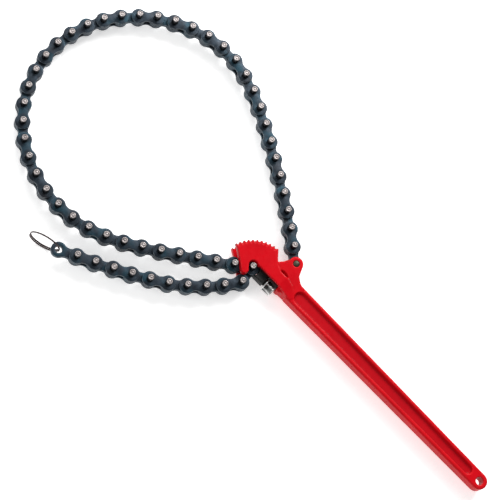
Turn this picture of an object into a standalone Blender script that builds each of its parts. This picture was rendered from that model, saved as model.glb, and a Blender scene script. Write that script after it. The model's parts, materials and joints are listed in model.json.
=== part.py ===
"""Chain pipe wrench: a long leaf chain hooked back into its own head, and a key ring on the chain's end.

The wrench lies flat: every chain pin stands along Z and the handle runs along +X to its hang hole.
All lengths below are millimetres, measured from the centre of the hang hole at mid thickness.
centre_on_floor() moves the finished wrench so that the origin is the middle of its base.
"""

import math

import bmesh
import bpy
from mathutils import Matrix, Vector

MM = 0.001

# Shank: a tapering I-section bar
SHANK_START_X = -270.0
SHANK_HALF_WIDTH_AT_HEAD = 11.0
SHANK_HALF_WIDTH_AT_END = 8.7
SHANK_HALF_DEPTH = 7.6
SHANK_CHAMFER = 1.2
RECESS_START_X = -258.0
RECESS_END_X = -12.0
RECESS_RIM = 3.6
RECESS_DEPTH = 3.2
HANG_HOLE_RADIUS = 4.2

# Head: two toothed cheeks with the chain slot between them
CHEEK_HALF_DEPTH = 12.6
JAW_CENTRE = (-305.8, -19.8)
JAW_RADIUS = 39.9
JAW_FIRST_ANGLE = 96.4
JAW_LAST_ANGLE = 164.9
TOOTH_COUNT = 11
CHAIN_SLOT_HALF_WIDTH = 5.8
HOOK = (-315.4, -13.0)
HOOK_SEAT = (-315.9, -12.4)
HOOK_SEAT_RADIUS = 4.4
NECK_EDGE_Y = -9.0

# Ear: a fork that holds the chain's first link
EAR = (-286.4, 23.4)
EAR_RADIUS = 7.6
EAR_HALF_DEPTH = 8.0
FORK_HALF_WIDTH = 3.1
ANCHOR_PIN_RADIUS = 3.2
ANCHOR_PIN_HALF_LENGTH = 8.8

# Keeper bar and its nut, on an axis along X below the neck
KEEPER_AXIS_Y = -14.0
KEEPER_END_X = -295.8
KEEPER_LOW_Y = -17.4
KEEPER_HIGH_Y = -7.4
KEEPER_HALF_DEPTH = 5.2
KEEPER_TIP_RADIUS = 8.6
TAIL_SCREW_RADIUS = 2.9
TAIL_SCREW_END_X = -284.0
SHOULDER_X = -282.4
NUT_START_X = -294.2
NUT_FLANGE_THICKNESS = 1.4
NUT_FLANGE_RADIUS = 6.6
NUT_ACROSS_FLATS = 11.0
NUT_BORE_RADIUS = 3.2

# Chain: leaf links, inner and outer in turn
PITCH = 19.05
KNUCKLE_RADIUS = 8.0
WAIST_HALF_WIDTH = 5.0
INNER_HALF_DEPTH = 2.5
OUTER_PLATE_INSIDE = 2.8
OUTER_PLATE_OUTSIDE = 5.3
CHAIN_PIN_RADIUS = 3.2
CHAIN_PIN_HALF_LENGTH = 12.4
LINK_HOLE_RADIUS = 3.7
LOOP_LINKS = 44
TAIL_LINKS = 11
OPEN_STATION = 22

# Way the chain lies: (link number, heading in degrees) between which the headings run evenly
LOOP_HEADINGS = [
    (0, 141), (4, 147), (8, 150), (11, 164), (13, 193), (16, 215), (20, 249),
    (24, 284), (28, 321), (32, 355), (36, 392), (39, 397), (43, 398),
]
TAIL_HEADINGS = [(0, 280), (1, 238), (2, 231), (5, 214), (10, 205)]

# Key ring: round wire wound one and a half times, standing in the last link's hole
RING_RADIUS = 16.2
RING_WIRE_RADIUS = 0.8
RING_TURNS = 1.45
RING_START_DEG = -175.0
RING_COIL_GAP = 0.2
RING_STEPS = 48
RING_RISE_DEG = 16.0
RING_HEADING_DEG = 196.5

# Straight stretches that stand for round ones
PIN_SIDES = 8
KNUCKLE_STEPS = 6


def clear_scene():
    for item in list(bpy.data.objects):
        bpy.data.objects.remove(item, do_unlink=True)


def new_collection(name):
    collection = bpy.data.collections.new(name)
    bpy.context.scene.collection.children.link(collection)
    return collection


def material(name, colour, metallic, roughness):
    made = bpy.data.materials.new(name)
    made.use_nodes = True
    shader = made.node_tree.nodes["Principled BSDF"]
    shader.inputs["Base Color"].default_value = (*colour, 1.0)
    shader.inputs["Metallic"].default_value = metallic
    shader.inputs["Roughness"].default_value = roughness
    return made


def object_from(name, work, collection):
    """An object from a bmesh in millimetres, its faces turned outwards."""
    bmesh.ops.scale(work, vec=(MM, MM, MM), verts=work.verts)
    bmesh.ops.recalc_face_normals(work, faces=work.faces)
    mesh = bpy.data.meshes.new(name)
    work.to_mesh(mesh)
    work.free()
    made = bpy.data.objects.new(name, mesh)
    collection.objects.link(made)
    return made


def extruded(outline, low, high):
    """Bmesh of an outline extruded along Z from one height to another."""
    work = bmesh.new()
    base = work.faces.new([work.verts.new((x, y, low)) for x, y in outline])
    grown = bmesh.ops.extrude_face_region(work, geom=[base])["geom"]
    risen = [item for item in grown if isinstance(item, bmesh.types.BMVert)]
    bmesh.ops.translate(work, vec=(0, 0, high - low), verts=risen)
    return work


def prism(name, outline, low, high, collection):
    return object_from(name, extruded(outline, low, high), collection)


def chamfered(name, outline, half_depth, chamfer, collection):
    """A plate about mid thickness whose edges at both faces are chamfered."""
    work = extruded(outline, -half_depth, half_depth)
    rims = [edge for edge in work.edges if edge.verts[0].co.z == edge.verts[1].co.z]
    bmesh.ops.bevel(work, geom=rims, offset=chamfer, segments=1, profile=0.5, affect="EDGES")
    return object_from(name, work, collection)


def cylinder(name, radius, low, high, sides, collection, centre=(0, 0)):
    """A cylinder along Z from one height to another."""
    work = bmesh.new()
    bmesh.ops.create_cone(
        work, cap_ends=True, segments=sides, radius1=radius, radius2=radius, depth=high - low
    )
    bmesh.ops.translate(work, vec=(*centre, (low + high) / 2), verts=work.verts)
    return object_from(name, work, collection)


def cylinder_along_x(name, radius, start_x, end_x, y, sides, collection):
    made = cylinder(name, radius, start_x, end_x, sides, collection)
    made.data.transform(Matrix.Translation((0, y * MM, 0)) @ Matrix.Rotation(math.radians(90), 4, "Y"))
    return made


def wire(name, points, radius, collection):
    """A round wire through the points, made a mesh with its end caps welded on."""
    curve = bpy.data.curves.new(name, "CURVE")
    curve.dimensions = "3D"
    curve.bevel_depth = radius
    curve.bevel_resolution = 2
    curve.use_fill_caps = True
    spline = curve.splines.new("POLY")
    spline.points.add(len(points) - 1)
    for point, place in zip(spline.points, points):
        point.co = (*place, 1.0)
    guide = bpy.data.objects.new(name + " guide", curve)
    work = bmesh.new()
    work.from_mesh(guide.to_mesh())
    bmesh.ops.remove_doubles(work, verts=work.verts, dist=0.001)
    bpy.data.objects.remove(guide, do_unlink=True)
    return object_from(name, work, collection)


def loft(name, levels, collection):
    """A solid through outlines of the same number of points, one at each height."""
    work = bmesh.new()
    rings = [[work.verts.new((x, y, z)) for x, y in outline] for z, outline in levels]
    count = len(rings[0])
    work.faces.new(rings[0])
    work.faces.new(rings[-1])
    for low, high in zip(rings, rings[1:]):
        for i in range(count):
            work.faces.new([low[i - 1], low[i], high[i], high[i - 1]])
    return object_from(name, work, collection)


def arc(centre, radius, start_deg, end_deg, steps):
    points = []
    for i in range(steps + 1):
        angle = math.radians(start_deg + (end_deg - start_deg) * i / steps)
        points.append((centre[0] + radius * math.cos(angle), centre[1] + radius * math.sin(angle)))
    return points


def circle(centre, radius, sides):
    return arc(centre, radius, 0, 360, sides)[:-1]


def inset(outline, distance):
    """The outline, given anticlockwise, moved inwards by a distance."""
    moved = []
    count = len(outline)
    for i in range(count):
        here = Vector(outline[i])
        before = (here - Vector(outline[i - 1])).normalized()
        after = (Vector(outline[(i + 1) % count]) - here).normalized()
        inward_before = Vector((-before.y, before.x))
        inward_after = Vector((-after.y, after.x))
        mitre = inward_before + inward_after
        mitre *= distance / max(mitre.dot(inward_before), 0.5)
        moved.append((here.x + mitre.x, here.y + mitre.y))
    return moved


def boolean(target, operand, operation):
    """Applies an exact Boolean and removes the second object."""
    modifier = target.modifiers.new(operand.name, "BOOLEAN")
    modifier.operation = operation
    modifier.solver = "EXACT"
    modifier.object = operand
    bpy.context.view_layer.update()
    result = bpy.data.meshes.new_from_object(target.evaluated_get(bpy.context.evaluated_depsgraph_get()))
    target.modifiers.clear()
    target.data = result
    bpy.data.objects.remove(operand, do_unlink=True)


def join(target, *pieces):
    for piece in pieces:
        boolean(target, piece, "UNION")


def cut(target, *cutters):
    for cutter in cutters:
        boolean(target, cutter, "DIFFERENCE")


def finish(item, coating):
    """Gives a piece its material and smooth shading with sharp edges kept."""
    item.data.materials.clear()
    item.data.materials.append(coating)
    item.data.shade_smooth()
    item.data.set_sharp_from_angle(angle=math.radians(35))


def move_origin(item, x, y, z=0.0):
    """Puts a piece's origin on its joint axis without moving the piece."""
    item.data.transform(Matrix.Translation(Vector((-x, -y, -z)) * MM))
    item.location = Vector((x, y, z)) * MM


# ---------------------------------------------------------------- handle


def shank_half_width(x):
    share = (x - SHANK_START_X) / -SHANK_START_X
    return SHANK_HALF_WIDTH_AT_HEAD + share * (SHANK_HALF_WIDTH_AT_END - SHANK_HALF_WIDTH_AT_HEAD)


def shank(collection):
    low_corner = (SHANK_START_X, -SHANK_HALF_WIDTH_AT_HEAD)
    high_corner = (SHANK_START_X, SHANK_HALF_WIDTH_AT_HEAD)
    outline = [low_corner] + arc((0, 0), SHANK_HALF_WIDTH_AT_END, -88, 88, 10) + [high_corner]
    return chamfered("handle", outline, SHANK_HALF_DEPTH, SHANK_CHAMFER, collection)


def recess_outline(rim):
    """Rounded slot, as wide as the shank less a rim on each side."""
    start_radius = shank_half_width(RECESS_START_X) - rim
    end_radius = shank_half_width(RECESS_END_X) - rim
    start = arc((RECESS_START_X, 0), start_radius, 90, 270, 8)
    end = arc((RECESS_END_X - end_radius, 0), end_radius, -90, 90, 8)
    return start + end


def recess_cutter(side, collection):
    """Sloping-walled pocket in one face; side is 1 for the top face and -1 for the bottom."""
    floor = SHANK_HALF_DEPTH - RECESS_DEPTH
    levels = [
        (side * floor, recess_outline(RECESS_RIM + 1.3)),
        (side * SHANK_HALF_DEPTH, recess_outline(RECESS_RIM)),
        (side * (SHANK_HALF_DEPTH + 2), recess_outline(RECESS_RIM - 0.6)),
    ]
    return loft("recess cutter", levels, collection)


def jaw_teeth(tip_radius, root_radius):
    """Tips and roots in turn along the jaw's arc, from the ear side round to the hook side."""
    step = (JAW_LAST_ANGLE - JAW_FIRST_ANGLE) / (TOOTH_COUNT - 1)
    points = []
    for i in range(TOOTH_COUNT):
        tip = JAW_FIRST_ANGLE + i * step
        points += arc(JAW_CENTRE, tip_radius, tip, tip, 1)[:1]
        if i < TOOTH_COUNT - 1:
            points += arc(JAW_CENTRE, root_radius, tip + 0.55 * step, tip + 0.55 * step, 1)[:1]
    return points


def cheek_outline(tip_radius, root_radius):
    """Side view of a cheek: jaw, hook with its notch, neck, and the ridge back to the jaw."""
    hook_edge = [(-333.0, -16.7), (-325.8, -22.4), (-320.8, -26.2)]
    horn_tip = [(-317.8, -27.0), (-315.6, -25.8), (-314.6, -23.4), (-314.8, -20.4)]
    notch = arc(HOOK_SEAT, HOOK_SEAT_RADIUS, 232, 78, 9)
    neck = [(-311.8, NECK_EDGE_Y), (SHOULDER_X, NECK_EDGE_Y), (-266.0, NECK_EDGE_Y - 0.6)]
    ridge = [(-263.5, -4.7), (-268.2, -1.3), (-273.4, 2.2), (-281.5, 4.4), (-291.2, 4.4)]
    throat = [(-296.7, 6.8), (-302.2, 11.0)]
    return jaw_teeth(tip_radius, root_radius) + hook_edge + horn_tip + notch + neck + ridge + throat


def cheeks(collection):
    """Both cheeks in one block; the tooth gullets deepen towards the outer faces."""
    outer = inset(cheek_outline(JAW_RADIUS + 1.0, JAW_RADIUS - 3.6), 0.9)
    inner = cheek_outline(JAW_RADIUS, JAW_RADIUS - 2.4)
    levels = [
        (-CHEEK_HALF_DEPTH, outer),
        (-CHEEK_HALF_DEPTH + 2.6, inner),
        (CHEEK_HALF_DEPTH - 2.6, inner),
        (CHEEK_HALF_DEPTH, outer),
    ]
    block = loft("cheeks", levels, collection)
    for side in (1, -1):
        cut(block, slope_cutter(side, collection))
    return block


def slope_cutter(side, collection):
    """Wedge that brings the cheek's face down to the shank's face behind the neck."""
    slope = [(-284.0, side * CHEEK_HALF_DEPTH), (-260.0, side * (SHANK_HALF_DEPTH - 0.6))]
    outside = [(-260.0, side * 14.0), (-284.0, side * 14.0)]
    wedge = prism("slope cutter", slope + outside, -20.0, 20.0, collection)
    wedge.data.transform(Matrix.Rotation(math.radians(90), 4, "X"))
    return wedge


def ear_plate(collection):
    lobe = arc(EAR, EAR_RADIUS, 18, 172, 9)
    outline = [(-301.0, -6.0), (-262.0, -6.0), (-262.0, 10.1), (-268.3, 11.2), (-275.0, 16.0)]
    outline += lobe + [(-295.0, 20.4), (-297.2, 15.6), (-301.0, 11.0)]
    return chamfered("ear", outline, EAR_HALF_DEPTH, 0.8, collection)


def shoulder(collection):
    outline = [(SHOULDER_X, -4.0), (SHOULDER_X, -12.0), (-279.6, -12.0), (-273.0, -8.6), (-273.0, -4.0)]
    return chamfered("shoulder", outline, 6.8, 0.6, collection)


def chain_slot_cutter(collection):
    """Space between the cheeks: for the chain at the jaw and for the keeper bar below the neck."""
    top = NECK_EDGE_Y + 2.4
    outline = [(SHOULDER_X, top), (-302.0, top), (-303.5, 4.0), (-307.5, 30.0)]
    outline += [(-350.0, 30.0), (-350.0, -40.0), (SHOULDER_X, -40.0)]
    return prism("chain slot cutter", outline, -CHAIN_SLOT_HALF_WIDTH, CHAIN_SLOT_HALF_WIDTH, collection)


def nut_room_cutter(collection):
    """Widens the slot through both faces where the nut turns."""
    outline = [(-296.8, -30.0), (SHOULDER_X, -30.0), (SHOULDER_X, -6.6), (-296.8, -6.6)]
    half_width = NUT_FLANGE_RADIUS + 0.5
    return prism("nut room cutter", outline, -half_width, half_width, collection)


def fork_cutter(collection):
    """Gap in the ear for the chain's first link, open on the jaw side and above."""
    bottom = arc(EAR, KNUCKLE_RADIUS + 1.2, 185, 355, 8)
    outline = bottom + [(-272.0, 24.0), (-272.0, 40.0), (-310.0, 40.0), (-310.0, 22.0)]
    return prism("fork cutter", outline, -FORK_HALF_WIDTH, FORK_HALF_WIDTH, collection)


def handle(collection):
    body = shank(collection)
    join(body, ear_plate(collection), cheeks(collection), shoulder(collection))
    cut(body, recess_cutter(1, collection), recess_cutter(-1, collection))
    cut(body, chain_slot_cutter(collection), nut_room_cutter(collection), fork_cutter(collection))
    cut(body, cylinder("anchor bore", ANCHOR_PIN_RADIUS + 0.35, -20, 20, 20, collection, EAR))
    cut(body, cylinder("hang hole", HANG_HOLE_RADIUS, -20, 20, 24, collection))
    return body


# ---------------------------------------------------------------- pin, keeper and nut


def anchor_pin(collection):
    outline = circle((0, 0), ANCHOR_PIN_RADIUS, 20)
    pin = chamfered("anchor_pin", outline, ANCHOR_PIN_HALF_LENGTH, 0.5, collection)
    pin.location = Vector((*EAR, 0.0)) * MM
    return pin


def keeper_bar(collection):
    """Bar with a hollowed tip that faces the hooked chain pin, and a screw at its other end."""
    low_deg = math.degrees(math.asin((KEEPER_LOW_Y - HOOK[1]) / KEEPER_TIP_RADIUS))
    high_deg = math.degrees(math.asin((KEEPER_HIGH_Y - HOOK[1]) / KEEPER_TIP_RADIUS))
    tip = arc(HOOK, KEEPER_TIP_RADIUS, high_deg, low_deg, 6)
    outline = tip + [(KEEPER_END_X, KEEPER_LOW_Y), (KEEPER_END_X, KEEPER_HIGH_Y)]
    bar = chamfered("keeper_bar", outline, KEEPER_HALF_DEPTH, 0.5, collection)
    screw_start = KEEPER_END_X - 3
    screw = cylinder_along_x(
        "screw", TAIL_SCREW_RADIUS, screw_start, TAIL_SCREW_END_X, KEEPER_AXIS_Y, 16, collection
    )
    join(bar, screw)
    move_origin(bar, KEEPER_END_X, KEEPER_AXIS_Y)
    return bar


def adjuster_nut(collection):
    """Hexagon nut with a round flange towards the bar; its bore runs on the bar's screw."""
    corner = NUT_ACROSS_FLATS / 2 / math.cos(math.radians(30))
    start = NUT_START_X
    flange_end = start + NUT_FLANGE_THICKNESS
    end = SHOULDER_X - 0.4
    axis_y = KEEPER_AXIS_Y
    nut = cylinder_along_x("adjuster_nut", corner, start + 0.3, end, axis_y, 6, collection)
    join(nut, cylinder_along_x("flange", NUT_FLANGE_RADIUS, start, flange_end, axis_y, 24, collection))
    cut(nut, cylinder_along_x("thread", NUT_BORE_RADIUS, start - 3, end + 3, axis_y, 16, collection))
    move_origin(nut, NUT_START_X, KEEPER_AXIS_Y)
    return nut


# ---------------------------------------------------------------- chain


def heading_at(link, keys):
    for (low, low_deg), (high, high_deg) in zip(keys, keys[1:]):
        if link <= high:
            return low_deg + (high_deg - low_deg) * (link - low) / (high - low)
    return keys[-1][1]


def smoothed(values):
    """Running mean of three, which rounds off the corners between headings."""
    middle = [(values[i - 1] + values[i] + values[i + 1]) / 3 for i in range(1, len(values) - 1)]
    return [values[0]] + middle + [values[-1]]


def stations_along(start, headings):
    stations = [start]
    for heading in headings:
        x, y = stations[-1]
        angle = math.radians(heading)
        stations.append((x + PITCH * math.cos(angle), y + PITCH * math.sin(angle)))
    return stations


def closed_headings(headings):
    """Turns and curls the run a little, by Newton's method, until it spans exactly from ear to hook."""
    last = len(headings) - 1
    for _ in range(12):
        end = stations_along(EAR, headings)[-1]
        miss = (HOOK[0] - end[0], HOOK[1] - end[1])
        turn = [0.0, 0.0]
        curl = [0.0, 0.0]
        for i, heading in enumerate(headings):
            angle = math.radians(heading)
            step = (-PITCH * math.sin(angle), PITCH * math.cos(angle))
            for axis in (0, 1):
                turn[axis] += step[axis]
                curl[axis] += step[axis] * i / last
        det = turn[0] * curl[1] - turn[1] * curl[0]
        turn_by = (miss[0] * curl[1] - miss[1] * curl[0]) / det
        curl_by = (turn[0] * miss[1] - turn[1] * miss[0]) / det
        headings = [h + math.degrees(turn_by + curl_by * i / last) for i, h in enumerate(headings)]
    return headings


def chain_layout():
    """Heading and both end stations of each link, from the ear round to the hook and on down the tail."""
    loop = [heading_at(i, LOOP_HEADINGS) for i in range(LOOP_LINKS)]
    loop = closed_headings(smoothed(smoothed(loop)))
    tail = [heading_at(i, TAIL_HEADINGS) for i in range(TAIL_LINKS)]
    stations = stations_along(EAR, loop)[:-1] + stations_along(HOOK, tail)
    return loop + tail, stations


def link_outline():
    """Figure of eight: two knuckles a pitch apart, blended by hollow arcs into a waist."""
    half = PITCH / 2
    narrowing = KNUCKLE_RADIUS - WAIST_HALF_WIDTH
    hollow = (half**2 + WAIST_HALF_WIDTH**2 - KNUCKLE_RADIUS**2) / (2 * narrowing)
    lift = WAIST_HALF_WIDTH + hollow
    blend = math.degrees(math.atan2(lift, half))
    near = arc((0, 0), KNUCKLE_RADIUS, blend, 360 - blend, KNUCKLE_STEPS)
    far = arc((PITCH, 0), KNUCKLE_RADIUS, blend - 180, 180 - blend, KNUCKLE_STEPS)
    low_waist = [(half, -WAIST_HALF_WIDTH)]
    high_waist = [(half, WAIST_HALF_WIDTH)]
    return near + low_waist + far + high_waist


def inner_link_mesh(collection):
    """Slab of inner plates with a hole at each end."""
    slab = prism("inner link", link_outline(), -INNER_HALF_DEPTH, INNER_HALF_DEPTH, collection)
    for x in (0, PITCH):
        cut(slab, cylinder("hole", LINK_HOLE_RADIUS, -20, 20, PIN_SIDES, collection, (x, 0)))
    return slab


def outer_link_mesh(collection):
    """Two outer plates joined by their two riveted pins."""
    outline = link_outline()
    low = prism("outer link", outline, -OUTER_PLATE_OUTSIDE, -OUTER_PLATE_INSIDE, collection)
    high = prism("high plate", outline, OUTER_PLATE_INSIDE, OUTER_PLATE_OUTSIDE, collection)
    reach = CHAIN_PIN_HALF_LENGTH
    near_pin = cylinder("near pin", CHAIN_PIN_RADIUS, -reach, reach, PIN_SIDES, collection)
    far_pin = cylinder("far pin", CHAIN_PIN_RADIUS, -reach, reach, PIN_SIDES, collection, (PITCH, 0))
    join(low, near_pin, high, far_pin)
    return low


def place_chain(collection, plate_colour):
    """One object per link, its origin on the pin it hangs from."""
    inner = inner_link_mesh(collection)
    outer = outer_link_mesh(collection)
    for master in (inner, outer):
        finish(master, plate_colour)
    headings, stations = chain_layout()
    for i, heading in enumerate(headings):
        master = outer if i % 2 else inner
        kind = "outer" if i % 2 else "inner"
        link = bpy.data.objects.new(f"link_{i + 1:02d}_{kind}", master.data.copy())
        hangs_from_far_end = OPEN_STATION <= i < LOOP_LINKS
        pivot = stations[i + 1] if hangs_from_far_end else stations[i]
        turn = heading + 180 if hangs_from_far_end else heading
        link.location = Vector((*pivot, 0.0)) * MM
        link.rotation_euler = (0, 0, math.radians(turn))
        collection.objects.link(link)
    for master in (inner, outer):
        bpy.data.objects.remove(master, do_unlink=True)
    return stations[-1]


# ---------------------------------------------------------------- key ring


def key_ring(hole, collection):
    """Round wire wound one and a half times; it passes once through the last link's hole."""
    heading = math.radians(RING_HEADING_DEG)
    rise = math.radians(RING_RISE_DEG)
    level = Vector((math.cos(heading), math.sin(heading), 0.0))
    outward = level * math.cos(rise) + Vector((0.0, 0.0, math.sin(rise)))
    axis = Vector((-math.sin(heading), math.cos(heading), 0.0))
    upward = outward.cross(axis)
    centre = Vector((*hole, 0.0)) + outward * RING_RADIUS
    advance = 2 * RING_WIRE_RADIUS + RING_COIL_GAP
    points = []
    for i in range(RING_STEPS + 1):
        share = i / RING_STEPS
        angle = math.radians(RING_START_DEG) + share * RING_TURNS * math.tau
        radial = outward * math.cos(angle) + upward * math.sin(angle)
        shift = advance * (share * RING_TURNS - 0.2)
        points.append(centre + radial * RING_RADIUS + axis * shift)
    ring = wire("key_ring", points, RING_WIRE_RADIUS, collection)
    move_origin(ring, *hole)
    return ring


# ---------------------------------------------------------------- whole wrench


def centre_on_floor(collection):
    """Moves everything so that the origin is the middle of the wrench's base."""
    bpy.context.view_layer.update()
    points = []
    for item in collection.objects:
        points += [item.matrix_world @ vertex.co for vertex in item.data.vertices]
    low = Vector([min(point[axis] for point in points) for axis in range(3)])
    high = Vector([max(point[axis] for point in points) for axis in range(3)])
    shift = Vector((-(low.x + high.x) / 2, -(low.y + high.y) / 2, -low.z))
    for item in collection.objects:
        item.location += shift


def main():
    clear_scene()
    wrench = new_collection("chain_pipe_wrench")
    red_paint = material("red_paint", (0.62, 0.02, 0.03), 0.0, 0.35)
    blued_steel = material("blued_steel", (0.05, 0.07, 0.10), 0.8, 0.42)
    black_oxide = material("black_oxide", (0.02, 0.02, 0.022), 0.6, 0.5)
    zinc = material("zinc", (0.72, 0.72, 0.70), 1.0, 0.3)
    dark_pin = material("dark_pin", (0.14, 0.13, 0.11), 0.8, 0.5)
    ring_steel = material("ring_steel", (0.10, 0.07, 0.07), 0.8, 0.4)
    finish(handle(wrench), red_paint)
    finish(anchor_pin(wrench), dark_pin)
    finish(keeper_bar(wrench), black_oxide)
    finish(adjuster_nut(wrench), zinc)
    hole = place_chain(wrench, blued_steel)
    finish(key_ring(hole, wrench), ring_steel)
    centre_on_floor(wrench)


main()
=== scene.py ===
"""Looks of the chain pipe wrench: forged and enamelled handle, leaf chain, keeper, nut and key ring.

Every place comes from the frame. Sizes are in millimetres, and piece_from scales shapes to metres.
"""

import json
import math

import bmesh
import bpy
from mathutils import Matrix, Quaternion, Vector


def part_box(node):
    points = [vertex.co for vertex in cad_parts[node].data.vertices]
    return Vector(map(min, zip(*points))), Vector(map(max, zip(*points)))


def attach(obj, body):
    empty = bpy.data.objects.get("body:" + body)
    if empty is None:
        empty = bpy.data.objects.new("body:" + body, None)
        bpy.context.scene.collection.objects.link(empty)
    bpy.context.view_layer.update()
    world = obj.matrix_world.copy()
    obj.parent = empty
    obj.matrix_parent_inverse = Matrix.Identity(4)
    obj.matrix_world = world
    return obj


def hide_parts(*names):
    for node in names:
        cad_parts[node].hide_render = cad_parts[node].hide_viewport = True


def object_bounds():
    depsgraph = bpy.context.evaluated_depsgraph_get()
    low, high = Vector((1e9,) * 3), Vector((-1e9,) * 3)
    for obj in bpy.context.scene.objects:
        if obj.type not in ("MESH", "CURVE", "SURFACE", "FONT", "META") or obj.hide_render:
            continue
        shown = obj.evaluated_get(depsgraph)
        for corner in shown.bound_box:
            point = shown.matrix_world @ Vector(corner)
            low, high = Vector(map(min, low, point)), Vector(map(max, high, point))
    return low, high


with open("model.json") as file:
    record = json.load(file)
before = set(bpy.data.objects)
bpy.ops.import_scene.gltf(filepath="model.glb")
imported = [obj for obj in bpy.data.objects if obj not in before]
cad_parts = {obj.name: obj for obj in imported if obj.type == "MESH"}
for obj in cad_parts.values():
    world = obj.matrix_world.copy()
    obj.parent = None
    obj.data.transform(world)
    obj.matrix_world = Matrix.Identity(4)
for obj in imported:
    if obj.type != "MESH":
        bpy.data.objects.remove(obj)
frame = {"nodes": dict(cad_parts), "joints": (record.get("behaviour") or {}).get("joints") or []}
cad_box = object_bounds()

MM = 0.001

# Chain, in the link's own frame: near pin at the origin, far pin a pitch along X
PITCH = 19.05
KNUCKLE_RADIUS = 8.0
WAIST_HALF_WIDTH = 5.0
INNER_PLATE = (0.1, 2.5)
OUTER_PLATE = (2.8, 5.3)
PLATE_EDGE = 0.5
PIN_RADIUS = 3.2
PIN_REACH = 12.4
PIN_HOLE_RADIUS = 3.45
RING_HOLE_RADIUS = 3.7
PIN_FIT = 0.02

# Handle, as forged: every edge but the teeth's is softened
FORGING_VOXEL = 0.55
FORGING_PASSES = 7
FORGING_KEPT = 0.45
FORGING_SHARP_DEG = 62

# Jaw, ear and neck
JAW_CENTRE_FROM_EAR = (-19.4, -43.2)
JAW_BACK_FROM_CENTRE = 12.0
JAW_TOOTH_ROOT_RADIUS = 35.5
JAW_TOOTH_TIP_RADIUS = 39.6
TOOTH_WEAR_START = 0.45
NECK_SIDE_FROM_EAR = -28.0
SLOT_WALL_HALF_DEPTH = 11.5
SLOT_WALL_BEFORE_BAR = 2.0
SLOT_WALL_PAST_NUT = 0.1

# Shank and the hollow at the foot of the ridge
SHANK_HALF_DEPTH = 7.6
RECESS_RIM = 0.5
SHARE_FADE = 1.5
HOLLOW_FROM_EAR = (-0.9, -17.2)
HOLLOW_RADII = (5.4, 2.0)
HOLLOW_DEPTH = 2.6
HOLLOW_HEIGHT_LIMIT = 9.0

# Keeper, nut and anchor pin
KEEPER_TIP_RADIUS = 8.6
KEEPER_TIP_FROM_SCREW = (-19.6, 1.0)
KEEPER_LOW = -3.4
KEEPER_HIGH = 6.6
KEEPER_HALF_DEPTH = 5.2
KEEPER_EDGE = 0.8
KEEPER_END_TO_NUT = 1.6
SCREW_RADIUS = 2.9
SCREW_SUNK_IN_BAR = 0.8
THREAD_DEPTH = 0.45
THREAD_PITCH = 1.0
NUT_ACROSS_FLATS = 11.0
NUT_FLANGE_RADIUS = 6.6
NUT_FLANGE_THICKNESS = 1.4
NUT_CORNER_CUT = 0.12
NUT_BORE_RADIUS = 3.2
ANCHOR_RADIUS = 3.2

# Key ring
RING_RADIUS = 16.2
RING_WIRE_RADIUS = 0.8
RING_TURNS = 1.45
RING_START_DEG = -175.0
RING_COIL_GAP = 0.2
RING_TURNS_BEFORE_HOLE = 0.2
RING_END_TAPER = (0.7, 0.93)
RING_RISE_DEG = 16.0
RING_HEADING_DEG = 196.5

# Floor
FLOOR_HALF_SIZE = 3000.0
FLOOR_GAP = 0.2

# Camera: looks down on the flat wrench from the keeper's side, rolled about its line of sight
VIEW_AZIMUTH_DEG = 4.4
VIEW_ELEVATION_DEG = 68.9
VIEW_ROLL_DEG = 41.4
VIEW_DISTANCE_M = 1.809
VIEW_LENS = 127.7
SENSOR_WIDTH = 36.0
VIEW_TARGET_FROM_EAR = (-43.2, -22.8, 0.0)

joint_of = {joint["child"]: joint for joint in frame["joints"]}


# ---------------------------------------------------------------- mesh helpers


def piece_from(name, work, coating, smooth_deg=38):
    """A mesh object from a bmesh in millimetres, faces outward and smooth between sharp edges."""
    bmesh.ops.scale(work, vec=(MM, MM, MM), verts=work.verts)
    bmesh.ops.recalc_face_normals(work, faces=work.faces)
    mesh = bpy.data.meshes.new(name)
    work.to_mesh(mesh)
    work.free()
    mesh.shade_smooth()
    mesh.set_sharp_from_angle(angle=math.radians(smooth_deg))
    mesh.materials.append(coating)
    piece = bpy.data.objects.new(name, mesh)
    bpy.context.scene.collection.objects.link(piece)
    return piece


def copy_of(piece, name):
    """A second object with a mesh of its own."""
    twin = bpy.data.objects.new(name, piece.data.copy())
    bpy.context.scene.collection.objects.link(twin)
    return twin


def settle(piece, body, slot, *nodes):
    """The piece rides on a body and stands for the CAD nodes named; its slot is not used."""
    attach(piece, body)
    if nodes:
        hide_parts(*nodes)
    return piece


def direction(azimuth_deg, elevation_deg):
    """Unit vector towards a place at an azimuth, counted from -Y towards +X, and an elevation."""
    azimuth = math.radians(azimuth_deg)
    elevation = math.radians(elevation_deg)
    level = math.cos(elevation)
    return Vector((math.sin(azimuth) * level, -math.cos(azimuth) * level, math.sin(elevation)))


def clamped(share):
    return min(max(share, 0.0), 1.0)


def arc(centre, radius, start_deg, end_deg, steps):
    """Points on a circle from one angle to another, both ends included."""
    points = []
    for i in range(steps + 1):
        angle = math.radians(start_deg + (end_deg - start_deg) * i / steps)
        points.append((centre[0] + radius * math.cos(angle), centre[1] + radius * math.sin(angle)))
    return points


def loop_of_edges(work, outline, height):
    """Adds a closed outline of edges at one height."""
    corners = [work.verts.new((x, y, height)) for x, y in outline]
    return [work.edges.new((corners[i - 1], corners[i])) for i in range(len(corners))]


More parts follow.
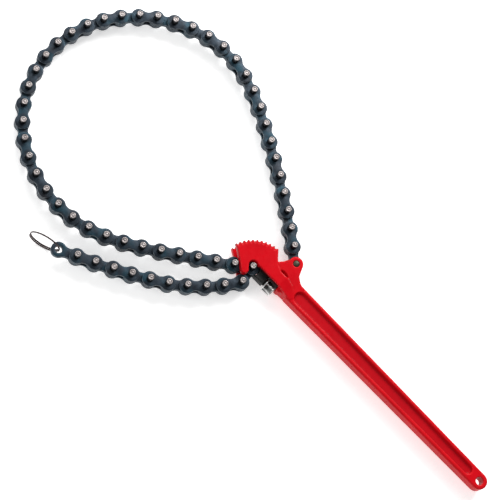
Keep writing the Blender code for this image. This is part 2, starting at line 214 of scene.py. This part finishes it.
def plate_into(work, outline, holes, low, high, edge):
    """Adds a blanked plate with rounded rims and round holes to a bmesh."""
    plate = bmesh.new()
    edges = loop_of_edges(plate, outline, low)
    for hole in holes:
        edges += loop_of_edges(plate, hole, low)
    filled = bmesh.ops.triangle_fill(plate, use_beauty=True, edges=edges)["geom"]
    faces = [item for item in filled if isinstance(item, bmesh.types.BMFace)]
    grown = bmesh.ops.extrude_face_region(plate, geom=faces)["geom"]
    risen = [item for item in grown if isinstance(item, bmesh.types.BMVert)]
    bmesh.ops.translate(plate, vec=(0, 0, high - low), verts=risen)
    bmesh.ops.recalc_face_normals(plate, faces=plate.faces)
    rims = [item for item in plate.edges if item.is_manifold and 1.4 < item.calc_face_angle(0) < 1.8]
    rims = [item for item in rims if abs(item.verts[0].co.z - item.verts[1].co.z) < 1e-6]
    bmesh.ops.bevel(plate, geom=rims, offset=edge, segments=3, profile=0.5, affect="EDGES")
    append_bmesh(work, plate)


def append_bmesh(work, other):
    """Adds all of another bmesh, which is used up."""
    made = bpy.data.meshes.new("part of a piece")
    other.to_mesh(made)
    other.free()
    work.from_mesh(made)
    bpy.data.meshes.remove(made)


def turned_into(work, profile, sides, axis_x=0.0):
    """Adds a solid turned about a vertical axis from (radius, height) pairs that start and end on it."""
    rings = []
    for radius, height in profile:
        if radius == 0:
            rings.append([work.verts.new((axis_x, 0, height))] * sides)
            continue
        ring = arc((axis_x, 0), radius, 0, 360, sides)[:-1]
        rings.append([work.verts.new((x, y, height)) for x, y in ring])
    for low, high in zip(rings, rings[1:]):
        for i in range(sides):
            corners = list(dict.fromkeys([low[i - 1], low[i], high[i], high[i - 1]]))
            work.faces.new(corners)


def skin_between(work, low, high):
    """Adds the band of four-sided faces between two rings with the same number of corners."""
    for i in range(len(low)):
        work.faces.new([low[i - 1], low[i], high[i], high[i - 1]])


def rod_through(work, rings):
    """Adds a solid skinned over rings in a row, with a flat cap at each end."""
    work.faces.new(rings[0])
    work.faces.new(rings[-1])
    for low, high in zip(rings, rings[1:]):
        skin_between(work, low, high)


# ---------------------------------------------------------------- materials


class Nodes:
    """A node material being wired up, with its Principled shader."""

    def __init__(self, name):
        self.material = bpy.data.materials.new(name)
        self.material.use_nodes = True
        self.tree = self.material.node_tree
        self.shader = self.tree.nodes["Principled BSDF"]
        self.place = self.tree.nodes.new("ShaderNodeTexCoord").outputs

    def link(self, output, socket):
        self.tree.links.new(output, socket)

    def set(self, **values):
        """Constant inputs of the shader, named as the inputs are in small letters."""
        for name, value in values.items():
            self.shader.inputs[name.replace("_", " ").title().replace("Ior", "IOR")].default_value = value

    def noise(self, scale, detail=4.0, roughness=0.55, stretch=(1, 1, 1)):
        """Noise that stays with the piece, its scale in waves a metre."""
        mapping = self.tree.nodes.new("ShaderNodeMapping")
        mapping.inputs["Scale"].default_value = stretch
        self.link(self.place["Object"], mapping.inputs["Vector"])
        noise = self.tree.nodes.new("ShaderNodeTexNoise")
        noise.inputs["Scale"].default_value = scale
        noise.inputs["Detail"].default_value = detail
        noise.inputs["Roughness"].default_value = roughness
        self.link(mapping.outputs["Vector"], noise.inputs["Vector"])
        return noise.outputs["Fac"]

    def ramp(self, value, low, high, to_low=0.0, to_high=1.0):
        """The value's range from low to high, mapped to another range and clamped."""
        node = self.tree.nodes.new("ShaderNodeMapRange")
        for name, number in (("From Min", low), ("From Max", high), ("To Min", to_low), ("To Max", to_high)):
            node.inputs[name].default_value = number
        self.link(value, node.inputs["Value"])
        return node.outputs["Result"]

    def times(self, first, second):
        """Product of a socket and a socket or number."""
        node = self.tree.nodes.new("ShaderNodeMath")
        node.operation = "MULTIPLY"
        self.link(first, node.inputs[0])
        if isinstance(second, float):
            node.inputs[1].default_value = second
        else:
            self.link(second, node.inputs[1])
        return node.outputs["Value"]

    def mix(self, share, first, second):
        """The first colour where the share is 0, the second where it is 1."""
        node = self.tree.nodes.new("ShaderNodeMix")
        node.data_type = "RGBA"
        self.link(share, node.inputs["Factor"])
        for socket, colour in ((node.inputs["A"], first), (node.inputs["B"], second)):
            if isinstance(colour, tuple):
                socket.default_value = (*colour, 1.0)
            else:
                self.link(colour, socket)
        return node.outputs["Result"]

    def upward(self):
        """1 on faces that look up or down in the piece's own frame, 0 on its sides."""
        split = self.tree.nodes.new("ShaderNodeSeparateXYZ")
        self.link(self.place["Normal"], split.inputs["Vector"])
        size = self.tree.nodes.new("ShaderNodeMath")
        size.operation = "ABSOLUTE"
        self.link(split.outputs["Z"], size.inputs[0])
        return size.outputs["Value"]

    def pointiness(self):
        """Above a half on ridges, below a half in creases."""
        return self.tree.nodes.new("ShaderNodeNewGeometry").outputs["Pointiness"]

    def attribute(self, name):
        node = self.tree.nodes.new("ShaderNodeAttribute")
        node.attribute_name = name
        return node.outputs["Fac"]

    def bump(self, *layers):
        """Stacked bumps, each a height socket with its depth in millimetres."""
        previous = None
        for height, depth in layers:
            node = self.tree.nodes.new("ShaderNodeBump")
            node.inputs["Strength"].default_value = 1.0
            node.inputs["Distance"].default_value = depth * MM
            self.link(height, node.inputs["Height"])
            if previous:
                self.link(previous, node.inputs["Normal"])
            previous = node.outputs["Normal"]
        self.link(previous, self.shader.inputs["Normal"])


def red_enamel():
    """Enamel over a forging: orange peel, slow waviness, bare metal at the tooth tips; painted highlight on
    ridges, painted shade in creases, recess floors and slot.
    """
    made = Nodes("red_enamel")
    made.set(metallic=0.0, coat_weight=0.04, coat_roughness=0.15, specular_ior_level=0.06)
    waves = made.noise(110.0, 3.0)
    peel = made.noise(900.0, 2.0)
    patches = made.noise(38.0, 5.0)
    red = made.mix(made.ramp(patches, 0.3, 0.7), (0.50, 0.002, 0.007), (0.60, 0.003, 0.009))
    # Recess floors mixed towards a darker red: painted shade.
    recess = made.attribute("recess_shade")
    red = made.mix(made.times(recess, 0.5), red, (0.34, 0.004, 0.010))
    # Ridges mixed towards a pink red: painted highlight.
    ridge = made.ramp(made.pointiness(), 0.50, 0.58)
    red = made.mix(made.times(ridge, 0.5), red, (0.82, 0.03, 0.035))
    # Creases mixed towards a deep red: painted shade.
    crease_shade = made.ramp(made.pointiness(), 0.50, 0.44)
    red = made.mix(made.times(crease_shade, 0.6), red, (0.30, 0.002, 0.006))
    chips = made.ramp(made.noise(420.0, 4.0), 0.42, 0.55)
    bare = made.times(made.attribute("tooth_tip"), chips)
    colour = made.mix(bare, red, (0.10, 0.022, 0.02))
    # Walls of the slot round the keeper and nut mixed to near black: painted shade.
    colour = made.mix(made.attribute("slot_shade"), colour, (0.030, 0.004, 0.004))
    made.link(colour, made.shader.inputs["Base Color"])
    made.link(made.ramp(made.noise(260.0, 5.0), 0.3, 0.75, 0.24, 0.40), made.shader.inputs["Roughness"])
    made.bump((waves, 0.12), (peel, 0.012))
    return made.material


def blued_steel():
    """Blue-black heat-treated plate: teal and brown patches, fine scale, and a patchy painted highlight on
    the rims.
    """
    made = Nodes("blued_steel")
    made.set(metallic=0.62, specular_ior_level=0.5)
    patches = made.noise(95.0, 5.0, 0.6)
    base = made.mix(made.ramp(patches, 0.32, 0.68), (0.010, 0.015, 0.023), (0.028, 0.043, 0.060))
    teal = made.ramp(made.noise(62.0, 3.0), 0.50, 0.66, 0.0, 0.70)
    base = made.mix(teal, base, (0.010, 0.052, 0.078))
    brown = made.ramp(made.noise(48.0, 3.0), 0.54, 0.72, 0.0, 0.55)
    base = made.mix(brown, base, (0.036, 0.030, 0.031))
    # Rims between the plate faces and sides lightened in noise patches: painted highlight.
    up = made.upward()
    rim = made.times(made.ramp(up, 0.10, 0.45), made.ramp(up, 0.97, 0.80))
    highlight_patches = made.ramp(made.noise(700.0, 4.0), 0.35, 0.62)
    wear_and_rim_highlight = made.times(made.times(rim, highlight_patches), 0.75)
    colour = made.mix(wear_and_rim_highlight, base, (0.22, 0.26, 0.29))
    made.link(colour, made.shader.inputs["Base Color"])
    made.link(made.ramp(made.noise(300.0, 6.0), 0.3, 0.7, 0.34, 0.52), made.shader.inputs["Roughness"])
    made.bump((made.noise(1500.0, 3.0), 0.01), (made.noise(240.0, 2.0), 0.03))
    return made.material


def pin_steel():
    """Chain pin: bright riveted ends with stains; the sides painted near black as shade and dark reflection.
    """
    made = Nodes("pin_steel")
    made.set(metallic=0.85, specular_ior_level=0.5)
    # Ends bright, sides near black: the sides' darkness is painted shade and dark reflection.
    end = made.ramp(made.upward(), 0.55, 0.85)
    grain = made.ramp(made.noise(1100.0, 5.0), 0.3, 0.7)
    bright = made.mix(grain, (0.24, 0.215, 0.21), (0.46, 0.42, 0.41))
    stain = made.ramp(made.noise(160.0, 4.0), 0.50, 0.70, 0.0, 0.6)
    bright = made.mix(stain, bright, (0.13, 0.11, 0.105))
    colour = made.mix(end, (0.018, 0.019, 0.022), bright)
    made.link(colour, made.shader.inputs["Base Color"])
    made.link(made.ramp(made.noise(500.0, 4.0), 0.3, 0.7, 0.32, 0.5), made.shader.inputs["Roughness"])
    made.bump((made.noise(1800.0, 2.0), 0.008), (made.noise(500.0, 2.0), 0.02))
    return made.material


def black_oxide():
    """Forged keeper bar, black with faint brown scale."""
    made = Nodes("black_oxide")
    made.set(metallic=0.35, specular_ior_level=0.45)
    scale = made.noise(210.0, 6.0, 0.65)
    colour = made.mix(made.ramp(scale, 0.4, 0.75), (0.006, 0.007, 0.007), (0.024, 0.020, 0.019))
    made.link(colour, made.shader.inputs["Base Color"])
    made.link(made.ramp(made.noise(420.0, 4.0), 0.3, 0.7, 0.42, 0.62), made.shader.inputs["Roughness"])
    made.bump((scale, 0.08), (made.noise(1300.0, 2.0), 0.015))
    return made.material


def zinc_plate():
    """Bright zinc: faint crystalline clouding, machining marks round the axis, painted shade in the creases.
    """
    made = Nodes("zinc_plate")
    made.set(metallic=0.7, specular_ior_level=0.5)
    clouds = made.noise(330.0, 5.0)
    colour = made.mix(made.ramp(clouds, 0.38, 0.62), (0.40, 0.40, 0.385), (0.95, 0.95, 0.94))
    # Creases mixed to near black: painted shade.
    crease_shade = made.ramp(made.pointiness(), 0.495, 0.46)
    colour = made.mix(crease_shade, colour, (0.03, 0.03, 0.03))
    made.link(colour, made.shader.inputs["Base Color"])
    made.link(made.ramp(made.noise(520.0, 4.0), 0.3, 0.7, 0.16, 0.34), made.shader.inputs["Roughness"])
    marks = made.noise(90.0, 2.0, 0.5, (22.0, 1.0, 1.0))
    made.bump((marks, 0.02), (made.noise(1500.0, 2.0), 0.006))
    return made.material


def anchor_steel():
    """Riveted ear pin, dark olive-grey with rubbed patches."""
    made = Nodes("anchor_steel")
    made.set(metallic=0.7, specular_ior_level=0.5)
    patches = made.noise(380.0, 5.0)
    colour = made.mix(made.ramp(patches, 0.35, 0.7), (0.026, 0.028, 0.018), (0.085, 0.078, 0.052))
    made.link(colour, made.shader.inputs["Base Color"])
    made.link(made.ramp(made.noise(620.0, 3.0), 0.3, 0.7, 0.36, 0.55), made.shader.inputs["Roughness"])
    made.bump((made.noise(900.0, 3.0), 0.03), (patches, 0.05))
    return made.material


def ring_steel():
    """Browned spring wire, rubbed lighter in patches."""
    made = Nodes("ring_steel")
    made.set(metallic=0.6, specular_ior_level=0.5)
    patches = made.noise(260.0, 5.0)
    colour = made.mix(made.ramp(patches, 0.35, 0.7), (0.022, 0.011, 0.011), (0.070, 0.044, 0.042))
    made.link(colour, made.shader.inputs["Base Color"])
    made.link(made.ramp(made.noise(700.0, 3.0), 0.3, 0.7, 0.28, 0.46), made.shader.inputs["Roughness"])
    made.bump((made.noise(1400.0, 3.0), 0.012), (patches, 0.02))
    return made.material


# ---------------------------------------------------------------- handle


def ear_centre():
    """Middle of the anchor pin."""
    low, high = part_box("anchor_pin")
    return (low + high) / 2


def jaw_centre():
    return ear_centre() + Vector((*JAW_CENTRE_FROM_EAR, 0)) * MM


def tooth_share(point, centre):
    """0 in the body of the jaw, 1 at the tips of its teeth."""
    if point.x > centre.x + JAW_BACK_FROM_CENTRE * MM or point.y < centre.y:
        return 0.0
    radius = math.hypot(point.x - centre.x, point.y - centre.y) / MM
    return clamped((radius - JAW_TOOTH_ROOT_RADIUS) / (JAW_TOOTH_TIP_RADIUS - JAW_TOOTH_ROOT_RADIUS))


def slot_wall_share():
    """A function that is 1 on the unlit walls round the keeper and nut, 0 on the open faces; the enamel
    paints these walls near black as painted shade.
    """
    bar_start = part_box("keeper_bar")[0].x - SLOT_WALL_BEFORE_BAR * MM
    nut_low, nut_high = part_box("adjuster_nut")
    nut_end = nut_high.x + SLOT_WALL_PAST_NUT * MM
    middle = (nut_low.z + nut_high.z) / 2
    neck_side = ear_centre().y + NECK_SIDE_FROM_EAR * MM

    def share(point):
        if not bar_start < point.x < nut_end or point.y > neck_side:
            return 0.0
        depth = abs(point.z - middle) / MM
        return clamped((SLOT_WALL_HALF_DEPTH - depth) / SHARE_FADE)

    return share


def recess_share(vertex, centre):
    """1 on the sunk floors of the shank's panels and of the hollows beside the ridge, 0 elsewhere; the
    enamel darkens these floors as painted shade.
    """
    looks_sideways = abs(vertex.normal.z) < 0.7
    if looks_sideways or vertex.co.x < centre.x + JAW_BACK_FROM_CENTRE * MM:
        return 0.0
    sunk = SHANK_HALF_DEPTH - abs(vertex.co.z - centre.z) / MM
    return clamped((sunk - RECESS_RIM) / SHARE_FADE)


def press_hollows(piece):
    """A shallow lens-shaped hollow at the foot of the ridge, on both faces."""
    ear = ear_centre()
    for vertex in piece.data.vertices:
        height = vertex.co.z - ear.z
        looks_sideways = abs(vertex.normal.z) < 0.5
        if looks_sideways or abs(height) > HOLLOW_HEIGHT_LIMIT * MM:
            continue
        along = ((vertex.co.x - ear.x) / MM - HOLLOW_FROM_EAR[0]) / HOLLOW_RADII[0]
        across = ((vertex.co.y - ear.y) / MM - HOLLOW_FROM_EAR[1]) / HOLLOW_RADII[1]
        inside = 1.0 - along**2 - across**2
        if inside > 0:
            vertex.co.z -= math.copysign(HOLLOW_DEPTH * MM * min(1.0, 2 * inside), height)


def welded_copy(node, name):
    """A new object with a node's mesh, its corners welded and its faces outward."""
    work = bmesh.new()
    work.from_mesh(node.data)
    bmesh.ops.remove_doubles(work, verts=work.verts, dist=1e-6)
    bmesh.ops.recalc_face_normals(work, faces=work.faces)
    mesh = bpy.data.meshes.new(name)
    work.to_mesh(mesh)
    work.free()
    piece = bpy.data.objects.new(name, mesh)
    bpy.context.scene.collection.objects.link(piece)
    return piece


def apply_modifiers(piece):
    """Leaves the piece with the mesh its modifiers make."""
    bpy.context.view_layer.update()
    graph = bpy.context.evaluated_depsgraph_get()
    mesh = bpy.data.meshes.new_from_object(piece.evaluated_get(graph))
    piece.modifiers.clear()
    piece.data = mesh


def remesh_evenly(piece):
    """Even small faces all over, which the softening needs."""
    remesh = piece.modifiers.new("forging", "REMESH")
    remesh.mode = "VOXEL"
    remesh.voxel_size = FORGING_VOXEL * MM
    apply_modifiers(piece)


def soften_all_but_teeth(piece):
    """Rounds the edges, keeps the teeth sharp, and drops the faces that flat stretches don't need."""
    centre = jaw_centre()
    group = piece.vertex_groups.new(name="softened")
    for vertex in piece.data.vertices:
        group.add([vertex.index], 1.0 - tooth_share(vertex.co, centre), "REPLACE")
    soften = piece.modifiers.new("soften", "SMOOTH")
    soften.factor = 0.5
    soften.iterations = FORGING_PASSES
    soften.vertex_group = group.name
    thin = piece.modifiers.new("thin", "DECIMATE")
    thin.ratio = FORGING_KEPT
    apply_modifiers(piece)
    piece.vertex_groups.clear()


def mark_surfaces(piece):
    """Point attributes that the enamel reads: wear on the tooth tips, and painted shade on the slot walls
    and recess floors.
    """
    centre = jaw_centre()
    in_slot = slot_wall_share()
    tips = piece.data.attributes.new("tooth_tip", "FLOAT", "POINT")
    walls = piece.data.attributes.new("slot_shade", "FLOAT", "POINT")
    floors = piece.data.attributes.new("recess_shade", "FLOAT", "POINT")
    for i, vertex in enumerate(piece.data.vertices):
        wear_and_rim_highlight = tooth_share(vertex.co, centre) - TOOTH_WEAR_START
        tips.data[i].value = max(0.0, wear_and_rim_highlight) / (1.0 - TOOTH_WEAR_START)
        walls.data[i].value = in_slot(vertex.co)
        floors.data[i].value = recess_share(vertex, centre)


def forged_handle(coating):
    """The handle with every edge and corner rounded as a forging is, all but the cut teeth."""
    piece = welded_copy(frame["nodes"]["handle"], "forged_handle")
    remesh_evenly(piece)
    press_hollows(piece)
    soften_all_but_teeth(piece)
    mark_surfaces(piece)
    piece.data.shade_smooth()
    piece.data.set_sharp_from_angle(angle=math.radians(FORGING_SHARP_DEG))
    piece.data.materials.clear()
    piece.data.materials.append(coating)
    return settle(piece, "handle", "red_paint", "handle")


def riveted_anchor_pin(coating):
    """Pin through the ear, its two ends domed by riveting."""
    low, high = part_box("anchor_pin")
    reach = (high.z - low.z) / 2 / MM
    profile = [(0, -reach), (1.6, -reach + 0.08), (2.6, -reach + 0.35), (ANCHOR_RADIUS, -reach + 0.9)]
    profile += [(radius, -height) for radius, height in reversed(profile)]
    work = bmesh.new()
    turned_into(work, profile, 36)
    piece = piece_from("riveted_anchor_pin", work, coating)
    piece.location = (low + high) / 2
    return settle(piece, "handle", "dark_pin", "anchor_pin")


# ---------------------------------------------------------------- keeper and nut


def threaded_into(work, start, end):
    """Adds a screw along X, with a single thread whose crest goes round once a pitch."""
    sides = 28
    rings_per_pitch = 6
    count = int((end - start) / THREAD_PITCH * rings_per_pitch)
    rings = []
    for i in range(count + 1):
        x = start + (end - start) * i / count
        ring = []
        for j in range(sides):
            angle = math.tau * j / sides
            phase = (x / THREAD_PITCH - j / sides) % 1.0
            crest = 1.0 - abs(2.0 * phase - 1.0)
            fade = min(1.0, (end - x) / THREAD_PITCH)
            radius = SCREW_RADIUS - THREAD_DEPTH + THREAD_DEPTH * crest * fade
            ring.append(work.verts.new((x, radius * math.cos(angle), radius * math.sin(angle))))
        rings.append(ring)
    rod_through(work, rings)


def forged_keeper(coating):
    """Bar with rounded edges and a tip hollowed round the hooked link, on its threaded tail."""
    low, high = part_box("keeper_bar")
    nut_low, nut_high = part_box("adjuster_nut")
    bar_end = nut_low.x / MM - KEEPER_END_TO_NUT
    screw_length = high.x / MM - bar_end
    tip = KEEPER_TIP_FROM_SCREW
    low_deg = math.degrees(math.asin((KEEPER_LOW - tip[1]) / KEEPER_TIP_RADIUS))
    high_deg = math.degrees(math.asin((KEEPER_HIGH - tip[1]) / KEEPER_TIP_RADIUS))
    outline = arc(tip, KEEPER_TIP_RADIUS, high_deg, low_deg, 18) + [(0, KEEPER_LOW), (0, KEEPER_HIGH)]
    work = bmesh.new()
    plate_into(work, outline, [], -KEEPER_HALF_DEPTH, KEEPER_HALF_DEPTH, KEEPER_EDGE)
    threaded_into(work, -SCREW_SUNK_IN_BAR, screw_length)
    piece = piece_from("forged_keeper", work, coating)
    piece.location = (bar_end * MM, (nut_low.y + nut_high.y) / 2, (low.z + high.z) / 2)
    return settle(piece, "keeper", "black_oxide", "keeper_bar")


def nut_radius(radius, angle, hexagonal):
    """A radius on the nut: round as given, or cut back to the hexagon's flats."""
    if not hexagonal:
        return radius
    flat = NUT_ACROSS_FLATS / 2
    corner = flat / math.cos(math.radians(30))
    from_flat = (angle + math.pi / 6) % (math.pi / 3) - math.pi / 6
    return min(radius, flat / math.cos(from_flat), corner - NUT_CORNER_CUT)


def flanged_nut(coating):
    """Hexagon nut: thin flange with a sloping top, flats with cut-back corners, plain bore."""
    low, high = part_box("adjuster_nut")
    length = (high.x - low.x) / MM
    flat = NUT_ACROSS_FLATS / 2
    corner = flat / math.cos(math.radians(30))
    rim = NUT_FLANGE_RADIUS
    top = NUT_FLANGE_THICKNESS
    bore = NUT_BORE_RADIUS
    flange = [(0.0, rim - 0.25), (0.25, rim), (top - 0.35, rim), (top, rim - 0.3)]
    body = [(top + 0.1, corner), (length - 1.5, corner), (length - 0.75, corner - 0.35)]
    body += [(length - 0.2, flat + 0.05), (length, flat - 0.5)]
    inside = [(length, bore + 0.35), (length - 0.4, bore), (0.4, bore), (0.0, bore + 0.35)]
    stations = [(x, radius, False) for x, radius in flange]
    stations += [(x, radius, True) for x, radius in body]
    stations += [(x, radius, False) for x, radius in inside]
    sides = 72
    work = bmesh.new()
    rings = []
    for x, radius, hexagonal in stations:
        ring = []
        for j in range(sides):
            angle = math.tau * j / sides
            here = nut_radius(radius, angle, hexagonal)
            ring.append(work.verts.new((x, here * math.cos(angle), here * math.sin(angle))))
        rings.append(ring)
    for low_ring, high_ring in zip(rings, rings[1:] + rings[:1]):
        skin_between(work, low_ring, high_ring)
    piece = piece_from("flanged_nut", work, coating, 24)
    piece.location = (low.x, (low.y + high.y) / 2, (low.z + high.z) / 2)
    return settle(piece, "nut", "zinc", "adjuster_nut")


# ---------------------------------------------------------------- chain


def link_outline():
    """Figure of eight: two knuckles joined by hollow arcs."""
    half = PITCH / 2
    narrowing = KNUCKLE_RADIUS - WAIST_HALF_WIDTH
    hollow = (half**2 + WAIST_HALF_WIDTH**2 - KNUCKLE_RADIUS**2) / (2 * narrowing)
    lift = WAIST_HALF_WIDTH + hollow
    blend = math.degrees(math.atan2(lift, half))
    near = arc((0, 0), KNUCKLE_RADIUS, blend, 360 - blend, 26)
    far = arc((PITCH, 0), KNUCKLE_RADIUS, blend - 180, 180 - blend, 26)
    low_waist = arc((half, -lift), hollow, 180 - blend, blend, 9)[1:-1]
    high_waist = arc((half, lift), hollow, -blend, blend - 180, 9)[1:-1]
    return near + low_waist + far + high_waist


def hole_at(x, radius):
    """Outline of a round hole on the link's middle line."""
    return arc((x, 0), radius, 0, 360, 28)[:-1]


def inner_plates(name, far_radius, coating):
    """Two leaf plates side by side, with a hole at each end."""
    holes = [hole_at(0, PIN_HOLE_RADIUS), hole_at(PITCH, far_radius)]
    work = bmesh.new()
    low, high = INNER_PLATE
    plate_into(work, link_outline(), holes, low, high, PLATE_EDGE)
    plate_into(work, link_outline(), holes, -high, -low, PLATE_EDGE)
    return piece_from(name, work, coating)


def outer_plates(name, coating):
    """Two plates, one on each side of the inner links, each with its pin holes filled by the pins."""
    holes = [hole_at(0, PIN_RADIUS + PIN_FIT), hole_at(PITCH, PIN_RADIUS + PIN_FIT)]
    work = bmesh.new()
    low, high = OUTER_PLATE
    plate_into(work, link_outline(), holes, low, high, PLATE_EDGE)
    plate_into(work, link_outline(), holes, -high, -low, PLATE_EDGE)
    return piece_from(name, work, coating)


def pin_pair(name, coating):
    """Both pins of an outer link, their ends chamfered and struck with a ring by the riveting punch."""
    end = [(PIN_RADIUS, 0.75), (PIN_RADIUS - 0.14, 0.32), (PIN_RADIUS - 0.45, 0.08), (2.35, 0.0)]
    ring = [(2.05, 0.10), (1.85, 0.36), (1.5, 0.40), (1.25, 0.16), (0.95, 0.06), (0, 0.04)]
    top = [(radius, PIN_REACH - below) for radius, below in end + ring]
    profile = [(radius, -height) for radius, height in reversed(top)] + top
    work = bmesh.new()
    for x in (0, PITCH):
        turned_into(work, profile, 28, x)
    return piece_from(name, work, coating, 30)


def link_place(node, body):
    """Matrix from the link's own frame to its place, from its pivot and the middle of its box."""
    low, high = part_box(node)
    pivot = Vector(joint_of[body]["pos_m"])
    along = (low + high) / 2 - pivot
    turn = Matrix.Rotation(math.atan2(along.y, along.x), 4, "Z")
    return Matrix.Translation(pivot) @ turn


def chain(plates_coating, pins_coating):
    """Every link's plates and pins, copied from one master of each kind."""
    inner = inner_plates("inner master", PIN_HOLE_RADIUS, plates_coating)
    last = inner_plates("last master", RING_HOLE_RADIUS, plates_coating)
    outer = outer_plates("outer master", plates_coating)
    pins = pin_pair("pin master", pins_coating)
    links = sorted(name for name in frame["nodes"] if name.startswith("link_"))
    masters = {node: outer if node.endswith("outer") else inner for node in links}
    masters[links[-1]] = last
    for node, master in masters.items():
        body = node.rsplit("_", 1)[0]
        place = link_place(node, body)
        plates = copy_of(master, body + "_plates")
        plates.data.transform(place)
        settle(plates, body, "blued_steel", node)
        if master == outer:
            pair = copy_of(pins, body + "_pins")
            pair.data.transform(place)
            settle(pair, body, "blued_steel")
    for master in (inner, last, outer, pins):
        bpy.data.objects.remove(master, do_unlink=True)


# ---------------------------------------------------------------- key ring


def split_ring(coating):
    """Round spring wire wound one and a half turns through the last link's hole, its ends ground off."""
    hole = Vector(joint_of["key_ring"]["pos_m"]) / MM
    heading = math.radians(RING_HEADING_DEG)
    rise = math.radians(RING_RISE_DEG)
    level = Vector((math.cos(heading), math.sin(heading), 0.0))
    outward = level * math.cos(rise) + Vector((0.0, 0.0, math.sin(rise)))
    axis = Vector((-math.sin(heading), math.cos(heading), 0.0))
    upward = outward.cross(axis)
    centre = outward * RING_RADIUS
    advance = 2 * RING_WIRE_RADIUS + RING_COIL_GAP
    steps = 170
    sides = 14
    work = bmesh.new()
    rings = []
    for i in range(steps + 1):
        share = i / steps
        angle = math.radians(RING_START_DEG) + share * RING_TURNS * math.tau
        radial = outward * math.cos(angle) + upward * math.sin(angle)
        middle = centre + radial * RING_RADIUS
        middle += axis * advance * (share * RING_TURNS - RING_TURNS_BEFORE_HOLE)
        from_end = min(i, steps - i)
        wire = RING_WIRE_RADIUS
        if from_end < len(RING_END_TAPER):
            wire *= RING_END_TAPER[from_end]
        ring = []
        for j in range(sides):
            around = math.tau * j / sides
            offset = radial * math.cos(around) + axis * math.sin(around)
            ring.append(work.verts.new(middle + offset * wire))
        rings.append(ring)
    rod_through(work, rings)
    piece = piece_from("split_ring", work, coating)
    piece.location = hole * MM
    return settle(piece, "key_ring", "ring_steel", "key_ring")


# ---------------------------------------------------------------- stage


def floor():
    """Plain pale floor under the wrench, bright enough to fade into the studio."""
    work = bmesh.new()
    bmesh.ops.create_grid(work, x_segments=8, y_segments=8, size=FLOOR_HALF_SIZE)
    made = Nodes("pale_floor")
    made.set(roughness=0.9, specular_ior_level=0.1, emission_strength=0.55)
    tone = made.mix(made.ramp(made.noise(4.0, 2.0), 0.3, 0.7), (0.90, 0.90, 0.90), (0.93, 0.93, 0.93))
    made.link(tone, made.shader.inputs["Base Color"])
    made.link(tone, made.shader.inputs["Emission Color"])
    piece = piece_from("floor", work, made.material)
    piece.location = (0, 0, cad_box[0].z - FLOOR_GAP * MM)


def softbox(name, towards, distance, size, power):
    """A rectangular area light aimed at the wrench."""
    light = bpy.data.lights.new(name, "AREA")
    light.shape = "RECTANGLE"
    light.size = size[0]
    light.size_y = size[1]
    light.energy = power
    lamp = bpy.data.objects.new(name, light)
    lamp.location = towards * distance
    lamp.rotation_mode = "QUATERNION"
    lamp.rotation_quaternion = (-towards).to_track_quat("-Z", "Y")
    bpy.context.scene.collection.objects.link(lamp)


def studio():
    """White surroundings and three softboxes, the strongest from the ear's side."""
    world = bpy.data.worlds.new("studio")
    world.use_nodes = True
    background = world.node_tree.nodes["Background"]
    background.inputs["Color"].default_value = (1.0, 1.0, 1.0, 1.0)
    background.inputs["Strength"].default_value = 0.30
    bpy.context.scene.world = world
    bpy.context.scene.view_settings.view_transform = "Standard"
    softbox("key", direction(188, 40), 2.2, (1.0, 1.0), 44)
    softbox("side", direction(235, 42), 2.4, (1.2, 1.2), 20)
    softbox("fill", direction(320, 40), 2.6, (1.6, 1.2), 20)


def camera():
    """Camera on a long lens, aimed at a point a little way from the ear into the loop."""
    back = direction(VIEW_AZIMUTH_DEG, VIEW_ELEVATION_DEG)
    lens = bpy.data.cameras.new("camera")
    lens.lens = VIEW_LENS
    lens.sensor_width = SENSOR_WIDTH
    made = bpy.data.objects.new("camera", lens)
    made.location = ear_centre() + Vector(VIEW_TARGET_FROM_EAR) * MM + back * VIEW_DISTANCE_M
    made.rotation_mode = "QUATERNION"
    roll = Quaternion((0, 0, 1), math.radians(VIEW_ROLL_DEG))
    made.rotation_quaternion = (-back).to_track_quat("-Z", "Y") @ roll
    bpy.context.scene.collection.objects.link(made)
    bpy.context.scene.camera = made


def main():
    forged_handle(red_enamel())
    riveted_anchor_pin(anchor_steel())
    forged_keeper(black_oxide())
    flanged_nut(zinc_plate())
    chain(blued_steel(), pin_steel())
    split_ring(ring_steel())
    floor()
    studio()
    camera()


main()
